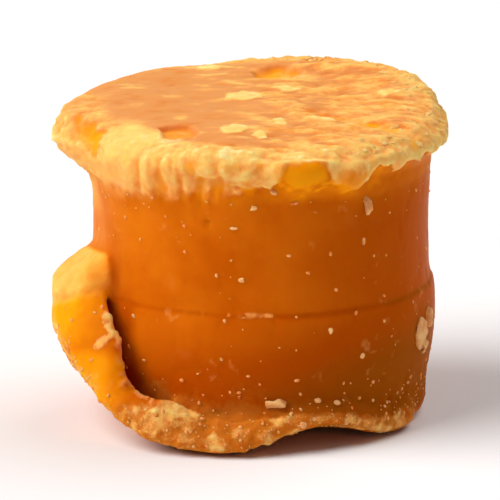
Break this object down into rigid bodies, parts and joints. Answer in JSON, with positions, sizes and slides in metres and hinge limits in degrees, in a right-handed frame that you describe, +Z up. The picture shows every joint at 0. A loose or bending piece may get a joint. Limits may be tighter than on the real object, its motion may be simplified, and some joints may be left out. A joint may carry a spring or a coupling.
{
  "type": "jaggery block",
  "caption": "Small block of jaggery, unrefined cane sugar cast in a round mould, with an overhanging crusty rim and a torn skirt of flash bent up at one side.",
  "frame": {"origin": "centre of the flat underside, on the axis of the mould", "axes": "+Z up along the mould's axis; +X to the right, across the widest span from the bent-up ear side to the right side; -Y to the front, where the low lip of flash is"},
  "size_m": [0.0582, 0.0568, 0.0482],
  "materials": {
    "jaggery": "waxy amber-brown sugar, slightly translucent, with a paler crystallised crust on the top and rim"
  },
  "bodies": {
    "root": {"jaggery_block": "jaggery"}
  },
  "joints": []
}
